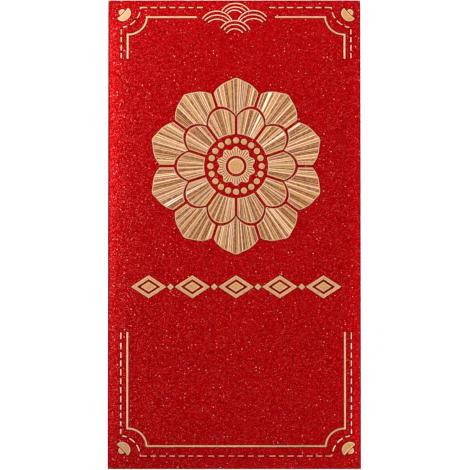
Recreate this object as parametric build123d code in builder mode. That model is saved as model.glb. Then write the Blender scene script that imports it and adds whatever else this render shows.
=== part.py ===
from build123d import *
import math
import os

# Red envelope, lying on its back with the decorated face up.
# X runs across the face, Y towards the mouth, Z out of the face. Z = 0 is the table.

# ---------------------------------------------------------------- driving dimensions (mm)
width = 89.0            # finished width over the side folds
height = 165.0          # finished height over the bottom and top folds
paper = 0.30            # thickness of the stiff pearl paper
glue = 0.05             # glue film
foil = 0.05             # stamped foil

z_flap = 0.0            # underside of the top and bottom flaps
z_wing = paper + glue   # underside of the back wings
z_face = 1.50           # underside of the front panel
z_top = z_face + paper  # decorated face

side_ro = (z_top - z_wing) / 2      # outer radius of the side folds
side_ri = side_ro - paper
side_zc = (z_top + z_wing) / 2
end_ro = (z_top - z_flap) / 2       # outer radius of the bottom and top folds
end_ri = end_ro - paper
end_zc = (z_top + z_flap) / 2

x_panel = width / 2 - side_ro       # half width of the flat front
y_panel = height / 2 - end_ro       # half height of the flat front

seam_lap = 12.0         # how far the two wings overlap at the centre seam
joggle_len = 1.2        # ramp of the inner wing up over the outer one
joggle_gap = 1.2        # clear of the outer wing's cut edge
throat_side = 80.6      # top edge of the wings at the side folds
throat_mid = 75.2       # and at the seam
wing_foot = -81.4       # bottom edge of the wings
wing_corner_r = 2.0

flap_len = 39.5         # closure flap, from the crease to its edge
flap_root = 43.2        # half width at the crease
flap_tip = 37.0         # half width at its edge
flap_corner_r = 9.0
bottom_len = 22.5       # bottom flap
bottom_root = 43.2
bottom_tip = 38.6
bottom_corner_r = 4.5

# Printed artwork sits slightly to the right of the sheet's centre line.
art_x = 0.66
line_w = 0.64           # solid frame line
dash_w = 0.34           # dashed line
frame_hw = 38.3         # half width of the solid frame
frame_top = 76.68
frame_bottom = -74.55
frame_r = 6.5           # concave corner of the solid frame
frame_arc_in = 0.30     # its centre lies inside the side line
frame_arc_out = 0.33    # and beyond the top or bottom line
frame_top_gap = 13.78   # half of the gap in the top line, around the crest
frame_top_foot = 61.88  # lower ends of the top brackets
frame_side_head = -34.46  # upper ends of the bottom bracket

dash_hw = 40.58         # half width of the dashed frame
dash_top = 80.08
dash_bottom = -78.04
dash_r = 7.3            # concave corner of the dashed frame
dash_arc_side = 0.50    # its centre lies outside the side line
dash_arc_end = 0.15     # and beyond the top or bottom line
dash_arc = ((12.9, 34.6), (40.0, 62.0), (68.0, 82.4))  # dashes round a concave corner, degrees
# straight dashes, each as the place of its middle and its length
row_dashes = ((32.66, 2.46), (29.15, 2.15), (25.87, 2.12), (22.55, 1.95), (19.18, 2.15), (15.95, 1.78), (12.79, 2.10))
foot_dashes = ((8.77, 2.10), (5.17, 1.95), (1.66, 2.05))
side_dashes = ((71.42, 1.78), (68.67, 1.78), (65.80, 1.94), (62.97, 1.82))
low_dashes = ((-35.86, 2.30), (-39.43, 2.27), (-42.62, 1.90), (-45.52, 2.10), (-48.63, 2.27), (-51.75, 1.95),
              (-54.93, 2.12), (-58.07, 2.10), (-60.95, 1.60), (-63.81, 1.87), (-66.69, 1.65), (-69.42, 1.65))
hook_len = 0.58

ingot_x = 40.1          # boat-shaped ingots in the corners
ingot_top_y = 78.1
ingot_bottom_y = -75.95
ingot_half = 2.72
ingot_hull = ((2.60, -1.00), (2.12, -1.95))
ingot_depth = 2.81
ingot_dip = 0.22
ingot_dome_r = 1.18
ingot_dome_y = 0.25
ingot_dome_cut = 0.10

wave_w = 0.34           # crest of four overlapping wave scales, three arcs each
wave_arcs = (
    ((-4.36, 78.96), (0.51, 81.60), (5.27, 79.14)),
    ((-3.30, 78.50), (0.45, 80.28), (4.00, 78.75)),
    ((-2.39, 77.97), (0.35, 79.12), (2.66, 78.04)),
    ((-11.21, 75.98), (-6.09, 78.78), (-0.87, 75.50)),
    ((-10.40, 75.42), (-6.09, 77.33), (-1.58, 75.32)),
    ((-9.23, 74.71), (-6.09, 75.88), (-2.85, 74.72)),
    ((1.39, 75.50), (6.54, 78.96), (11.48, 76.69)),
    ((2.02, 75.25), (6.54, 77.51), (11.12, 75.42)),
    ((3.19, 74.50), (6.54, 76.06), (10.14, 74.82)),
    ((-4.72, 72.62), (0.40, 75.35), (5.51, 72.09)),
    ((-3.66, 71.91), (0.40, 74.00), (4.17, 71.74)),
    ((-2.67, 70.82), (0.22, 72.44), (3.01, 70.99)),
)

petals = 10             # blossom medallion
medal_y = 23.9
medal_gap = 1.0         # bare paper between the petals
outer_r0, outer_lobe, outer_point = 26.2, 4.2, 0.7
inner_r0, inner_lobe = 16.6, 4.3
inner_foot = 11.3
bead_n, bead_ring_r, bead_r = 20, 9.05, 1.05
core_r, core_lobe = 6.35, 0.55
core_slot_out, core_slot_in = 3.7, 2.75

row_y = -18.6           # row of lozenges
row_n, row_pitch = 5, 15.4
loz_w, loz_h = 6.2, 4.0     # half diagonals
loz_cut_w, loz_cut_h = 4.2, 2.71
loz_core_w, loz_core_h = 2.75, 1.77
spot_w, spot_h = 1.15, 1.15

os.makedirs("parts", exist_ok=True)

# ---------------------------------------------------------------- front panel
with BuildPart() as front_panel:
    with BuildSketch(Plane.XY.offset(z_face)):
        Rectangle(2 * x_panel, 2 * y_panel)
    extrude(amount=paper)
front_panel.part.label = "front_panel"
export_step(front_panel.part, "parts/front_panel.step")

# ---------------------------------------------------------------- side folds, half-round strips
for side, sgn in (("left", -1), ("right", 1)):
    start = 90 if sgn < 0 else -90
    cx = sgn * x_panel
    with BuildPart() as side_fold:
        with BuildSketch(Plane.XZ.offset(-y_panel)):
            with BuildLine():
                outer = CenterArc((cx, side_zc), side_ro, start, 180)
                inner = CenterArc((cx, side_zc), side_ri, start, 180)
                Line(outer @ 0, inner @ 0)
                Line(outer @ 1, inner @ 1)
            make_face()
        extrude(amount=2 * y_panel)
    side_fold.part.label = f"{side}_side_fold"
    export_step(side_fold.part, f"parts/{side}_side_fold.step")

# ---------------------------------------------------------------- back wings
# The left wing rises over the right one at the seam and lies inside it. The rise and the lapped
# strip beyond it are pieces of their own.
lap = seam_lap / 2
ramp_top = -lap - joggle_gap
ramp_foot = ramp_top - joggle_len
rise = paper + glue
throat_slope = (throat_side - throat_mid) / (x_panel + lap)
throat_foot = throat_side - throat_slope * (x_panel + ramp_foot)
with BuildPart() as left_back_wing:
    with BuildSketch(Plane.XY.offset(z_wing)):
        with BuildLine():
            Polyline(
                (-x_panel, wing_foot),
                (ramp_foot, wing_foot),
                (ramp_foot, throat_foot),
                (-x_panel, throat_side),
                close=True,
            )
        make_face()
    extrude(amount=paper)
left_back_wing.part.label = "left_back_wing"
export_step(left_back_wing.part, "parts/left_back_wing.step")

throat_top = throat_side - throat_slope * (x_panel + ramp_top)
with BuildPart() as left_seam_rise:
    with BuildSketch(Plane.XZ.offset(-throat_side)):
        with BuildLine():
            Polyline(
                (ramp_foot, z_wing),
                (ramp_top, z_wing + rise),
                (ramp_top, z_wing + rise + paper),
                (ramp_foot, z_wing + paper),
                close=True,
            )
        make_face()
    extrude(amount=throat_side - wing_foot)
    with BuildSketch(Plane.XY):
        with BuildLine():
            Polyline(
                (ramp_foot, wing_foot),
                (ramp_top, wing_foot),
                (ramp_top, throat_top),
                (ramp_foot, throat_foot),
                close=True,
            )
        make_face()
    extrude(amount=z_top, mode=Mode.INTERSECT)
left_seam_rise.part.label = "left_seam_rise"
export_step(left_seam_rise.part, "parts/left_seam_rise.step")

with BuildPart() as left_seam_lap:
    with BuildSketch(Plane.XY.offset(z_wing + rise)) as lap_plan:
        with BuildLine():
            Polyline(
                (ramp_top, wing_foot),
                (lap, wing_foot),
                (lap, throat_mid),
                (ramp_top, throat_top),
                close=True,
            )
        make_face()
        fillet(lap_plan.vertices().group_by(Axis.X)[-1].sort_by(Axis.Y)[-1], wing_corner_r)
    extrude(amount=paper)
left_seam_lap.part.label = "left_seam_lap"
export_step(left_seam_lap.part, "parts/left_seam_lap.step")

with BuildPart() as right_back_wing:
    with BuildSketch(Plane.XY.offset(z_wing)) as wing_plan:
        with BuildLine():
            Polyline(
                (x_panel, wing_foot),
                (-lap, wing_foot),
                (-lap, throat_mid),
                (x_panel, throat_side),
                close=True,
            )
        make_face()
        fillet(wing_plan.vertices().group_by(Axis.X)[0].sort_by(Axis.Y)[-1], wing_corner_r)
    extrude(amount=paper)
right_back_wing.part.label = "right_back_wing"
export_step(right_back_wing.part, "parts/right_back_wing.step")

with BuildPart() as seam_glue:
    with BuildSketch(Plane.XY.offset(z_wing + paper)):
        with Locations((0, (throat_mid + wing_foot) / 2 - 0.6)):
            Rectangle(seam_lap - 2.0, throat_mid - wing_foot - 4.0)
    extrude(amount=glue)
seam_glue.part.label = "seam_glue"
export_step(seam_glue.part, "parts/seam_glue.step")

# ---------------------------------------------------------------- bottom fold and flap
with BuildPart() as bottom_fold:
    with BuildSketch(Plane.YZ.offset(-x_panel)):
        with BuildLine():
            outer = CenterArc((-y_panel, end_zc), end_ro, 90, 180)
            inner = CenterArc((-y_panel, end_zc), end_ri, 90, 180)
            Line(outer @ 0, inner @ 0)
            Line(outer @ 1, inner @ 1)
        make_face()
    extrude(amount=2 * x_panel)
bottom_fold.part.label = "bottom_fold"
export_step(bottom_fold.part, "parts/bottom_fold.step")

with BuildPart() as bottom_flap:
    with BuildSketch(Plane.XY.offset(z_flap)) as flap_plan:
        with BuildLine():
            Polyline(
                (-bottom_root, -y_panel),
                (bottom_root, -y_panel),
                (bottom_tip, -y_panel + bottom_len),
                (-bottom_tip, -y_panel + bottom_len),
                close=True,
            )
        make_face()
        fillet(flap_plan.vertices().group_by(Axis.Y)[-1], bottom_corner_r)
    extrude(amount=paper)
bottom_flap.part.label = "bottom_flap"
export_step(bottom_flap.part, "parts/bottom_flap.step")

with BuildPart() as bottom_flap_glue:
    with BuildSketch(Plane.XY.offset(z_flap + paper)) as glue_plan:
        with BuildLine():
            Polyline(
                (-bottom_root + 3.0, -y_panel + 1.5),
                (bottom_root - 3.0, -y_panel + 1.5),
                (bottom_tip - 3.0, -y_panel + bottom_len - 2.5),
                (-bottom_tip + 3.0, -y_panel + bottom_len - 2.5),
                close=True,
            )
        make_face()
        fillet(glue_plan.vertices().group_by(Axis.Y)[-1], bottom_corner_r - 1.0)
    extrude(amount=glue)
bottom_flap_glue.part.label = "bottom_flap_glue"
export_step(bottom_flap_glue.part, "parts/bottom_flap_glue.step")

# ---------------------------------------------------------------- closure crease and flap
# The crease is split along its outermost line, which is the hinge line.
for name, start in (("top_fold", 0), ("flap_fold", -90)):
    with BuildPart() as crease:
        with BuildSketch(Plane.YZ.offset(-x_panel if name == "top_fold" else -flap_root)):
            with BuildLine():
                outer = CenterArc((y_panel, end_zc), end_ro, start, 90)
                inner = CenterArc((y_panel, end_zc), end_ri, start, 90)
                Line(outer @ 0, inner @ 0)
                Line(outer @ 1, inner @ 1)
            make_face()
        extrude(amount=2 * (x_panel if name == "top_fold" else flap_root))
    crease.part.label = name
    export_step(crease.part, f"parts/{name}.step")

with BuildPart() as top_flap:
    with BuildSketch(Plane.XY.offset(z_flap)) as flap_plan:
        with BuildLine():
            Polyline(
                (-flap_root, y_panel),
                (flap_root, y_panel),
                (flap_tip, y_panel - flap_len),
                (-flap_tip, y_panel - flap_len),
                close=True,
            )
        make_face()
        fillet(flap_plan.vertices().group_by(Axis.Y)[0], flap_corner_r)
    extrude(amount=paper)
top_flap.part.label = "top_flap"
export_step(top_flap.part, "parts/top_flap.step")

# ---------------------------------------------------------------- foil: solid frame lines
art = Plane((art_x, 0, z_top))
frame_a0 = math.degrees(math.asin(frame_arc_out / frame_r))       # where the arc meets the end line
frame_a1 = 90 + math.degrees(math.asin(frame_arc_in / frame_r))   # and the side line
frame_run = frame_arc_in + (frame_r - line_w / 2) * math.cos(math.radians(frame_a0))
frame_drop = (frame_r - line_w / 2) * math.sin(math.radians(frame_a1)) - frame_arc_out

for side, sgn in (("left", -1), ("right", 1)):
    cx = sgn * frame_hw
    hub = (sgn * (frame_hw - frame_arc_in), frame_top + frame_arc_out)
    with BuildPart() as frame_line:
        with BuildSketch(art):
            x_in, x_out = frame_top_gap, frame_hw - frame_run
            with Locations((sgn * (x_in + x_out) / 2, frame_top)):
                Rectangle(x_out - x_in, line_w)
            y_hi, y_lo = frame_top - frame_drop, frame_top_foot
            with Locations((cx, (y_hi + y_lo) / 2)):
                Rectangle(line_w, y_hi - y_lo)
            with BuildLine():
                start = -frame_a1 if sgn < 0 else 180 + frame_a0
                outer = CenterArc(hub, frame_r + line_w / 2, start, frame_a1 - frame_a0)
                inner = CenterArc(hub, frame_r - line_w / 2, start, frame_a1 - frame_a0)
                Line(outer @ 0, inner @ 0)
                Line(outer @ 1, inner @ 1)
            make_face()
        extrude(amount=foil)
    frame_line.part.label = f"frame_line_top_{side}"
    export_step(frame_line.part, f"parts/frame_line_top_{side}.step")

with BuildPart() as frame_line_bottom:
    with BuildSketch(art):
        with Locations((0, frame_bottom)):
            Rectangle(2 * (frame_hw - frame_run), line_w)
        for sgn in (-1, 1):
            cx = sgn * frame_hw
            hub = (sgn * (frame_hw - frame_arc_in), frame_bottom - frame_arc_out)
            y_lo, y_hi = frame_bottom + frame_drop, frame_side_head
            with Locations((cx, (y_hi + y_lo) / 2)):
                Rectangle(line_w, y_hi - y_lo)
            with BuildLine():
                start = frame_a0 if sgn < 0 else 180 - frame_a1
                outer = CenterArc(hub, frame_r + line_w / 2, start, frame_a1 - frame_a0)
                inner = CenterArc(hub, frame_r - line_w / 2, start, frame_a1 - frame_a0)
                Line(outer @ 0, inner @ 0)
                Line(outer @ 1, inner @ 1)
            make_face()
    extrude(amount=foil)
frame_line_bottom.part.label = "frame_line_bottom"
export_step(frame_line_bottom.part, "parts/frame_line_bottom.step")

# ---------------------------------------------------------------- foil: dashed frame lines
hook_x = row_dashes[0][0] + row_dashes[0][1] / 2 - dash_w / 2     # the outermost dash turns towards the middle

for side, sgn in (("left", -1), ("right", 1)):
    hub = (sgn * (dash_hw + dash_arc_side), dash_top + dash_arc_end)
    with BuildPart() as dashes:
        with BuildSketch(art):
            for x, length in row_dashes:
                with Locations((sgn * x, dash_top)):
                    Rectangle(length, dash_w)
            with Locations((sgn * hook_x, dash_top - hook_len / 2)):
                Rectangle(dash_w, hook_len)
            for y, length in side_dashes:
                with Locations((sgn * dash_hw, y)):
                    Rectangle(dash_w, length)
            for a0, a1 in dash_arc:
                with BuildLine():
                    start = -a1 if sgn < 0 else 180 + a0
                    outer = CenterArc(hub, dash_r + dash_w / 2, start, a1 - a0)
                    inner = CenterArc(hub, dash_r - dash_w / 2, start, a1 - a0)
                    Line(outer @ 0, inner @ 0)
                    Line(outer @ 1, inner @ 1)
                make_face()
        extrude(amount=foil)
    dashes.part.label = f"dashes_top_{side}"
    export_step(dashes.part, f"parts/dashes_top_{side}.step")

with BuildPart() as dashes_bottom:
    with BuildSketch(art):
        for sgn in (-1, 1):
            hub = (sgn * (dash_hw + dash_arc_side), dash_bottom - dash_arc_end)
            for x, length in row_dashes + foot_dashes:
                with Locations((sgn * x, dash_bottom)):
                    Rectangle(length, dash_w)
            with Locations((sgn * hook_x, dash_bottom + hook_len / 2)):
                Rectangle(dash_w, hook_len)
            for y, length in low_dashes:
                with Locations((sgn * dash_hw, y)):
                    Rectangle(dash_w, length)
            for a0, a1 in dash_arc:
                with BuildLine():
                    start = a0 if sgn < 0 else 180 - a1
                    outer = CenterArc(hub, dash_r + dash_w / 2, start, a1 - a0)
                    inner = CenterArc(hub, dash_r - dash_w / 2, start, a1 - a0)
                    Line(outer @ 0, inner @ 0)
                    Line(outer @ 1, inner @ 1)
                make_face()
    extrude(amount=foil)
dashes_bottom.part.label = "dashes_bottom"
export_step(dashes_bottom.part, "parts/dashes_bottom.step")

# ---------------------------------------------------------------- foil: corner ingots
# Each ingot is a boat whose hull faces the middle of the sheet, with a small dome behind it.
for end, y, sy in (("top", ingot_top_y, 1), ("bottom", ingot_bottom_y, -1)):
    for side, sx in (("left", -1), ("right", 1)):
        corner = Plane((art_x + sx * ingot_x, y, z_top), x_dir=(sy, -sx, 0), z_dir=(0, 0, 1))
        with BuildPart() as ingot:
            with BuildSketch(corner):
                with BuildLine():
                    left_hull = [(-x, y) for x, y in ingot_hull]
                    right_hull = list(reversed(ingot_hull))
                    Spline((-ingot_half, 0), *left_hull, (0, -ingot_depth), *right_hull, (ingot_half, 0))
                    ThreePointArc((ingot_half, 0), (0, -ingot_dip), (-ingot_half, 0))
                boat = make_face()
                fillet(boat.vertices(), 0.3)
            extrude(amount=foil)
            with BuildSketch(corner):
                with Locations((0, ingot_dome_y)):
                    Circle(ingot_dome_r)
                with Locations((0, ingot_dome_cut - ingot_dome_r)):
                    Rectangle(4 * ingot_dome_r, 2 * ingot_dome_r, mode=Mode.SUBTRACT)
            extrude(amount=foil)
        ingot.part.label = f"ingot_{end}_{side}"
        export_step(ingot.part, f"parts/ingot_{end}_{side}.step")

# ---------------------------------------------------------------- foil: wave crest
with BuildPart() as wave_crest:
    with BuildSketch(Plane.XY.offset(z_top)):
        for p, q, r in wave_arcs:
            (ax, ay), (bx, by), (cx, cy) = p, q, r
            d = 2 * (ax * (by - cy) + bx * (cy - ay) + cx * (ay - by))
            a2, b2, c2 = ax * ax + ay * ay, bx * bx + by * by, cx * cx + cy * cy
            ux = (a2 * (by - cy) + b2 * (cy - ay) + c2 * (ay - by)) / d
            uy = (a2 * (cx - bx) + b2 * (ax - cx) + c2 * (bx - ax)) / d
            rad = math.hypot(ax - ux, ay - uy)
            a_end = math.degrees(math.atan2(ay - uy, ax - ux))
            a_start = math.degrees(math.atan2(cy - uy, cx - ux))
            with BuildLine():
                outer = CenterArc((ux, uy), rad + wave_w / 2, a_start, a_end - a_start)
                inner = CenterArc((ux, uy), rad - wave_w / 2, a_start, a_end - a_start)
                Line(outer @ 0, inner @ 0)
                Line(outer @ 1, inner @ 1)
            make_face()
    extrude(amount=foil)
wave_crest.part.label = "wave_crest"
export_step(wave_crest.part, "parts/wave_crest.step")

# ---------------------------------------------------------------- foil: blossom medallion
medal = Plane((art_x, medal_y, z_top))
pitch = 2 * math.pi / petals


def outer_edge(a):
    # outer petals point up and every pitch round; a is measured from a petal's centre line
    u = (a / pitch + 0.5) % 1.0 * 2 - 1
    return outer_r0 + outer_lobe * math.cos(u * math.pi / 2) ** 0.75 + outer_point * math.exp(-((u / 0.17) ** 2))


def inner_edge(a):
    # inner petals stand half a pitch round from the outer ones
    u = (a / pitch) % 1.0 * 2 - 1
    return inner_r0 + inner_lobe * math.cos(u * math.pi / 2) ** 0.8


def side_angle(edge, centre):
    # where an edge curve meets the side of a petal, half a gap short of the pitch line
    r = edge(centre + pitch / 2)
    for _ in range(30):
        a = pitch / 2 - math.asin(medal_gap / 2 / r)
        r = edge(centre + a)
    return a


with BuildPart() as medallion_outer_petals:
    with BuildSketch(medal):
        a_out = side_angle(outer_edge, 0.0)
        a_in = side_angle(lambda a: inner_edge(a) + medal_gap, 0.0)
        for k in range(petals):
            turn = math.pi / 2 + k * pitch
            tip = []
            for i in range(25):
                a = a_out * (2 * i / 24 - 1)
                r = outer_edge(a)
                tip.append((r * math.cos(turn + a), r * math.sin(turn + a)))
            foot = [[], []]
            for half, s in ((0, -1), (1, 1)):
                for i in range(13):
                    a = s * a_in * (1 - i / 12)
                    r = inner_edge(a) + medal_gap
                    foot[half].append((r * math.cos(turn + a), r * math.sin(turn + a)))
            with BuildLine():
                Spline(*tip[:13])
                Spline(*tip[12:])
                Spline(*foot[0])
                Spline(*foot[1])
                Line(tip[0], foot[0][0])
                Line(tip[-1], foot[1][0])
            make_face()
    extrude(amount=foil)
medallion_outer_petals.part.label = "medallion_outer_petals"
export_step(medallion_outer_petals.part, "parts/medallion_outer_petals.step")

with BuildPart() as medallion_inner_petals:
    with BuildSketch(medal):
        half = pitch / 2
        a_out = side_angle(inner_edge, half)
        a_in = half - math.asin(medal_gap / 2 / inner_foot)
        for k in range(petals):
            turn = math.pi / 2 + (k + 0.5) * pitch
            tip = []
            for i in range(25):
                a = a_out * (2 * i / 24 - 1)
                r = inner_edge(half + a)
                tip.append((r * math.cos(turn + a), r * math.sin(turn + a)))
            left = (inner_foot * math.cos(turn + a_in), inner_foot * math.sin(turn + a_in))
            right = (inner_foot * math.cos(turn - a_in), inner_foot * math.sin(turn - a_in))
            mid = (inner_foot * math.cos(turn), inner_foot * math.sin(turn))
            with BuildLine():
                Spline(*tip)
                Line(tip[-1], left)
                ThreePointArc(left, mid, right)
                Line(right, tip[0])
            make_face()
    extrude(amount=foil)
medallion_inner_petals.part.label = "medallion_inner_petals"
export_step(medallion_inner_petals.part, "parts/medallion_inner_petals.step")

with BuildPart() as medallion_beads:
    with BuildSketch(medal):
        with PolarLocations(bead_ring_r, bead_n, start_angle=90):
            Circle(bead_r)
    extrude(amount=foil)
medallion_beads.part.label = "medallion_beads"
export_step(medallion_beads.part, "parts/medallion_beads.step")

with BuildPart() as medallion_core:
    with BuildSketch(medal):
        ring = []
        for i in range(120):
            a = 2 * math.pi * i / 120
            r = core_r + core_lobe * math.cos(petals * (a - math.pi / 2))
            ring.append((r * math.cos(a), r * math.sin(a)))
        with BuildLine():
            Spline(*ring, periodic=True)
        make_face()
        Circle(core_slot_out, mode=Mode.SUBTRACT)
        Circle(core_slot_in)
    extrude(amount=foil)
medallion_core.part.label = "medallion_core"
export_step(medallion_core.part, "parts/medallion_core.step")

# ---------------------------------------------------------------- foil: row of lozenges
with BuildPart() as lozenge_row:
    with BuildSketch(Plane((art_x, row_y, z_top))):
        first = -(row_n - 1) / 2 * row_pitch
        for i in range(row_n):
            x = first + i * row_pitch
            for w, h, how in (
                (loz_w, loz_h, Mode.ADD),
                (loz_cut_w, loz_cut_h, Mode.SUBTRACT),
                (loz_core_w, loz_core_h, Mode.ADD),
            ):
                with BuildLine():
                    Polyline((x - w, 0), (x, h), (x + w, 0), (x, -h), close=True)
                make_face(mode=how)
            if i:
                s = x - row_pitch / 2
                with BuildLine():
                    Polyline((s - spot_w, 0), (s, spot_h), (s + spot_w, 0), (s, -spot_h), close=True)
                make_face()
    extrude(amount=foil)
lozenge_row.part.label = "lozenge_row"
export_step(lozenge_row.part, "parts/lozenge_row.step")
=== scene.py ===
import math
import random

import bmesh
import bpy
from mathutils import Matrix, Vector
from mathutils.geometry import delaunay_2d_cdt


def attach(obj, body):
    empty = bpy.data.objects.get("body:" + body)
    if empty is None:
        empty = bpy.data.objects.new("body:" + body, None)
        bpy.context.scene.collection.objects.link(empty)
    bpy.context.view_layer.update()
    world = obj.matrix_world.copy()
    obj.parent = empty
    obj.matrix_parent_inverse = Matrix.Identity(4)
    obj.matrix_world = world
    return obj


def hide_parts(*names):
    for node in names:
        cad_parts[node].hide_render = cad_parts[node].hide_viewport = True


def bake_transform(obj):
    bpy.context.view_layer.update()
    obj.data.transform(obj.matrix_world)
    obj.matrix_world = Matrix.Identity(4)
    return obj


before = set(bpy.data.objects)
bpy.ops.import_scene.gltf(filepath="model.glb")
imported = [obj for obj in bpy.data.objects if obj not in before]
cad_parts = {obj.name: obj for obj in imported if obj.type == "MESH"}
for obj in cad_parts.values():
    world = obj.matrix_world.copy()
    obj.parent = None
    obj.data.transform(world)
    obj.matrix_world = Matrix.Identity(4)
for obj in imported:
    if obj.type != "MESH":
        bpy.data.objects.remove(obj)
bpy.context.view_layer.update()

# ------------------------------------------------------------------ dimensions, in millimetres
MM = 0.001
X_PANEL, Y_PANEL = 43.775, 81.6          # half size of the flat front
Z_TOP, PAPER = 1.80, 0.30
Z_WING = 0.35
SIDE_RO, SIDE_ZC = 0.725, 1.075
END_RO, END_ZC = 0.90, 0.90
Y_HINGE = 82.5
LAP, RAMP_TOP, RAMP_FOOT = 6.0, -7.2, -8.4
THROAT_SIDE, THROAT_MID, WING_FOOT = 80.6, 75.2, -81.4
WING_R = 2.0
FLAP_LEN, FLAP_ROOT, FLAP_TIP, FLAP_R = 39.5, 43.2, 37.0, 9.0
BOTTOM_LEN, BOTTOM_ROOT, BOTTOM_TIP, BOTTOM_R = 22.5, 43.2, 38.6, 4.5
Y_JOIN = 81.3                            # where the closure piece takes over from the front

ART_X, MEDAL_Y = 0.66, 23.9
PETALS, GAP = 10, 1.0
OUTER_R0, OUTER_LOBE, OUTER_POINT = 26.2, 4.2, 0.7
INNER_R0, INNER_LOBE, INNER_FOOT = 16.6, 4.3, 11.3
CORE_R, CORE_LOBE, SLOT_OUT, SLOT_IN = 6.35, 0.55, 3.7, 2.75

FOIL_H = 0.055                           # how far the stamped foil stands above the paper
PRESS_SHADE_W = 0.28                           # strip of painted shade round the foil, where the paper is pressed down
DRAW_X, DRAW_Y, DRAW_SX, DRAW_SY = -0.03, -0.03, 0.9947, 0.9961   # the artwork draws in as the front swells


def smooth(t):
    t = max(0.0, min(1.0, t))
    return t * t * (3 - 2 * t)


def swell(x, y):
    """How far the front stands above its folds: the paper is sprung, and rolls off at the edges."""
    ax, ay = min(1.0, abs(x) / X_PANEL), min(1.0, abs(y) / Y_PANEL)
    fuller = 0.52 * math.exp(-(((y - 30) / 36) ** 2)) * smooth((-4 - x) / 30)
    rise = (0.60 * (1 - ax**2) + (1.65 + fuller) * (1 - ax**12)) * (1 - ay**13)
    wave = (
        0.050 * math.sin(0.071 * x + 0.6) * math.cos(0.039 * y - 0.5)
        + 0.035 * math.sin(0.115 * y + 0.043 * x + 1.1)
        + 0.020 * math.cos(0.19 * x - 0.06 * y)
    )
    return rise + wave * (1 - ax**4) * (1 - ay**8)


# ------------------------------------------------------------------ materials
def new_material(name):
    m = bpy.data.materials.new(name)
    m.use_nodes = True
    t = m.node_tree
    t.nodes.clear()
    out = t.nodes.new("ShaderNodeOutputMaterial")
    b = t.nodes.new("ShaderNodeBsdfPrincipled")
    t.links.new(b.outputs["BSDF"], out.inputs["Surface"])
    return m, t, b


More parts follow.
